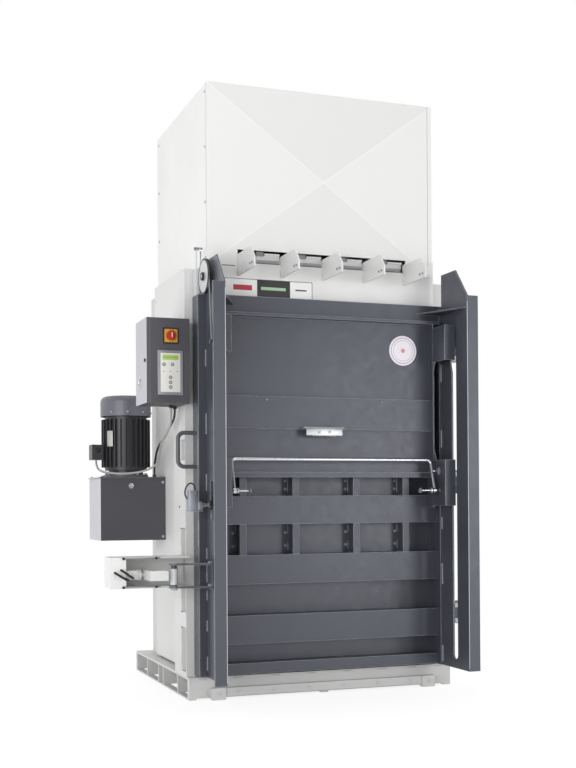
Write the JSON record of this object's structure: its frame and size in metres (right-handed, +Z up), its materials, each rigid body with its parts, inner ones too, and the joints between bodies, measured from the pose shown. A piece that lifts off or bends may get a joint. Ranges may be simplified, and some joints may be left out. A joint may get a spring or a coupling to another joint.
{
  "type": "recycling baler",
  "caption": "Upright baler with a tall hood, a side-hinged ribbed front door, a loading flap that slides down, a power unit and a control cabinet on the left.",
  "frame": {"origin": "centre of the base's footprint on the floor", "axes": "+Z up, +X to the right of an operator who faces the door, +Y from the door to the rear"},
  "size_m": [2.008, 1.65, 3.25],
  "materials": {
    "white_enamel": "satin light grey-white powder coat",
    "hood_enamel": "satin off-white powder coat",
    "dark_enamel": "satin anthracite powder coat",
    "cabinet_enamel": "fine textured anthracite powder coat",
    "motor_enamel": "satin dark grey machine enamel",
    "plain_steel": "bare machined steel",
    "chrome_bar": "hard chromed bar",
    "zinc_plate": "bright zinc plate",
    "rope_steel": "galvanised wire",
    "grey_cable": "light grey cable sheath",
    "black_rubber": "black moulded rubber",
    "red_plastic": "glossy moulded plastic",
    "sign_enamel": "plain screen-printed plate",
    "lamp_plastic": "moulded lamp strip"
  },
  "bodies": {
    "machine": {"base_frame": "white_enamel", "wall_panels": "white_enamel", "top_deck": "white_enamel", "column_left": "white_enamel", "column_right": "white_enamel", "side_cover": "hood_enamel", "head_box": "white_enamel", "head_fins": "white_enamel", "head_lamp": "lamp_plastic", "name_plate": "sign_enamel", "hood_panels": "hood_enamel", "hood_front": "hood_enamel", "hood_screws": "zinc_plate", "cylinder_bridge": "plain_steel", "press_cylinder": "plain_steel", "hinge_lugs": "plain_steel", "lock_housing": "white_enamel", "lock_cylinder": "zinc_plate", "lock_hoses": "black_rubber", "control_cabinet": "cabinet_enamel", "operator_panel": "cabinet_enamel", "oil_tank": "motor_enamel", "tank_lid": "motor_enamel", "oil_gauge": "zinc_plate", "motor_housing": "motor_enamel", "fan_cowl": "motor_enamel", "hydraulic_pump": "plain_steel", "terminal_box": "motor_enamel", "motor_cable": "grey_cable", "valve_cable": "black_rubber", "cable_glands": "black_rubber"},
    "press": {"platen": "plain_steel", "piston_rod": "chrome_bar"},
    "door": {"door_sides": "dark_enamel", "door_skin": "dark_enamel", "door_ribs": "dark_enamel", "door_top_beam": "dark_enamel", "door_column_left": "dark_enamel", "door_column_right": "dark_enamel", "hinge_arms": "plain_steel", "pull_handle": "dark_enamel", "counterweight_rail": "dark_enamel", "pulley_bracket": "zinc_plate", "rope_front": "rope_steel", "rope_rear": "rope_steel", "limit_switch": "zinc_plate", "lock_arms": "dark_enamel"},
    "flap": {"flap_panel": "dark_enamel", "flap_cheeks": "dark_enamel", "flap_grip": "dark_enamel", "round_plate": "sign_enamel"},
    "bail": {"bail": "chrome_bar"},
    "weight": {"counterweight": "plain_steel"},
    "pulley": {"pulley": "zinc_plate"},
    "lid": {"cabinet_lid": "cabinet_enamel"},
    "lid_lock": {"cabinet_lock": "zinc_plate"},
    "switch": {"main_switch": "red_plastic"},
    "rotor": {"motor_rotor": "rope_steel"},
    "jaw": {"lock_jaw": "zinc_plate"},
    "knob": {"star_knob": "black_rubber"}
  },
  "joints": [
    {"name": "platen_slide", "type": "slide", "parent": "machine", "child": "press", "axis": [0, 0, -1], "range_m": [0, 0.86]},
    {"name": "door_swing", "type": "hinge", "parent": "machine", "child": "door", "pos_m": [0.8, -0.646, 1.113], "axis": [0, 0, 1], "range_deg": [0, 110]},
    {"name": "flap_slide", "type": "slide", "parent": "door", "child": "flap", "axis": [0, 0, -1], "range_m": [0, 0.82], "deforming": ["rope_front"]},
    {"name": "weight_slide", "type": "slide", "parent": "door", "child": "weight", "axis": [0, 0, 1], "range_m": [0, 0.82], "deforming": ["rope_rear"]},
    {"name": "pulley_spin", "type": "hinge", "parent": "door", "child": "pulley", "pos_m": [-0.7, -0.751, 2.2], "axis": [1, 0, 0], "range_deg": [0, 590]},
    {"name": "bail_swing", "type": "hinge", "parent": "flap", "child": "bail", "pos_m": [0, -0.826, 1.094], "axis": [1, 0, 0], "range_deg": [0, 100]},
    {"name": "lid_swing", "type": "hinge", "parent": "machine", "child": "lid", "pos_m": [-0.9813, -0.42, 1.77], "axis": [0, 0, -1], "range_deg": [0, 110]},
    {"name": "lid_lock_turn", "type": "hinge", "parent": "lid", "child": "lid_lock", "pos_m": [-0.98, -0.646, 1.77], "axis": [-1, 0, 0], "range_deg": [0, 90]},
    {"name": "main_switch_turn", "type": "hinge", "parent": "machine", "child": "switch", "pos_m": [-0.862, -0.686, 1.898], "axis": [0, -1, 0], "range_deg": [0, 90]},
    {"name": "rotor_spin", "type": "hinge", "parent": "machine", "child": "rotor", "pos_m": [-0.903, 0.244, 1.3], "axis": [0, 0, 1], "continuous": true},
    {"name": "jaw_slide", "type": "slide", "parent": "machine", "child": "jaw", "axis": [1, 0, 0], "range_m": [0, 0.05]},
    {"name": "knob_turn", "type": "hinge", "parent": "door", "child": "knob", "pos_m": [-0.686, -0.796, 1.022], "axis": [1, 0, 0], "range_deg": [-180, 180]}
  ],
  "couplings": [
    {"joint": "weight_slide", "follows": "flap_slide", "ratio": 1},
    {"joint": "pulley_spin", "follows": "flap_slide", "rad_per_m": 12.5}
  ]
}
